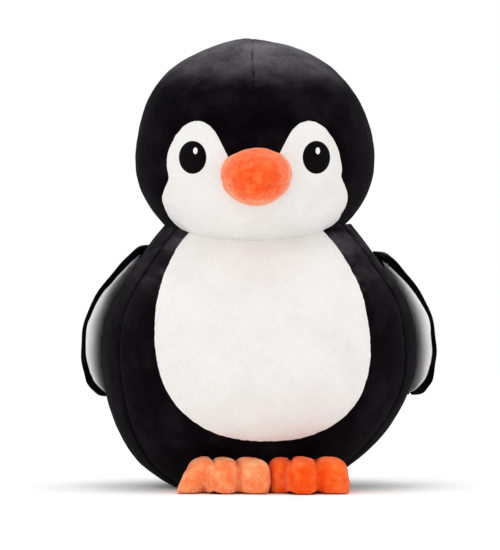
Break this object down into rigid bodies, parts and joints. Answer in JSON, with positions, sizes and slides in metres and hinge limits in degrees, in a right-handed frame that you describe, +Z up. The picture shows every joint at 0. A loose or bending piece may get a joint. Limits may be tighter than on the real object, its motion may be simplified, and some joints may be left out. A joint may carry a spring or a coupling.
{
  "type": "plush penguin",
  "caption": "Sitting plush penguin with a round black head and body, white face and belly, orange beak and three-toed feet, and soft flippers at its sides.",
  "frame": {"origin": "middle of the flat base panel, on the surface that the toy sits on", "axes": "+Z up, +X to the right of someone facing the toy, and the face looks along -Y"},
  "size_m": [0.229, 0.2139, 0.295],
  "materials": {
    "black_plush": "short pile",
    "white_plush": "short pile",
    "orange_plush": "short pile",
    "black_embroidery": "satin stitch",
    "white_embroidery": "satin stitch",
    "fibre_filling": "polyester fibre",
    "black_thread": "sewing thread",
    "orange_thread": "sewing thread"
  },
  "bodies": {
    "torso": {"belly_panel": "white_plush", "body_front_panel": "black_plush", "body_back_left": "black_plush", "body_back_right": "black_plush", "base_panel": "black_plush", "body_stuffing": "fibre_filling", "closing_stitches": "black_thread"},
    "neck": {"neck_stuffing": "fibre_filling"},
    "head": {"head_front_left": "black_plush", "head_front_right": "black_plush", "head_back_left": "black_plush", "head_back_right": "black_plush", "face_panel": "white_plush", "head_stuffing": "fibre_filling", "beak_upper": "orange_plush", "beak_lower": "orange_plush", "beak_stuffing": "fibre_filling", "eye_left": "black_embroidery", "eye_right": "black_embroidery", "eye_highlight_left": "white_embroidery", "eye_highlight_right": "white_embroidery"},
    "flipper_left": {"flipper_left_inner": "white_plush", "flipper_left_wadding": "fibre_filling", "flipper_left_outer": "black_plush"},
    "foot_left": {"foot_left_upper": "orange_plush", "foot_left_sole": "orange_plush", "foot_left_stuffing": "fibre_filling", "foot_left_toe_stitches": "orange_thread"},
    "flipper_right": {"flipper_right_inner": "white_plush", "flipper_right_wadding": "fibre_filling", "flipper_right_outer": "black_plush"},
    "foot_right": {"foot_right_upper": "orange_plush", "foot_right_sole": "orange_plush", "foot_right_stuffing": "fibre_filling", "foot_right_toe_stitches": "orange_thread"}
  },
  "joints": [
    {"name": "head_turn", "type": "hinge", "parent": "torso", "child": "neck", "pos_m": [0, 0, 0.213], "axis": [0, 0, 1], "range_deg": [-15, 15], "stiffness_Nm_per_rad": 0.6},
    {"name": "head_nod", "type": "hinge", "parent": "neck", "child": "head", "pos_m": [0, 0, 0.213], "axis": [1, 0, 0], "range_deg": [-10, 10], "stiffness_Nm_per_rad": 0.6},
    {"name": "flipper_left_flap", "type": "hinge", "parent": "torso", "child": "flipper_left", "pos_m": [-0.0815, 0.02032, 0.154], "axis": [0.2419, 0.9703, 0], "range_deg": [0, 90], "stiffness_Nm_per_rad": 0.005},
    {"name": "flipper_right_flap", "type": "hinge", "parent": "torso", "child": "flipper_right", "pos_m": [0.0815, 0.02032, 0.154], "axis": [0.2419, -0.9703, 0], "range_deg": [0, 90], "stiffness_Nm_per_rad": 0.005},
    {"name": "foot_left_lift", "type": "hinge", "parent": "torso", "child": "foot_left", "pos_m": [-0.0335, -0.075, 0.024], "axis": [-1, 0, 0], "range_deg": [0, 25], "stiffness_Nm_per_rad": 0.05},
    {"name": "foot_right_lift", "type": "hinge", "parent": "torso", "child": "foot_right", "pos_m": [0.0335, -0.075, 0.024], "axis": [-1, 0, 0], "range_deg": [0, 25], "stiffness_Nm_per_rad": 0.05}
  ]
}
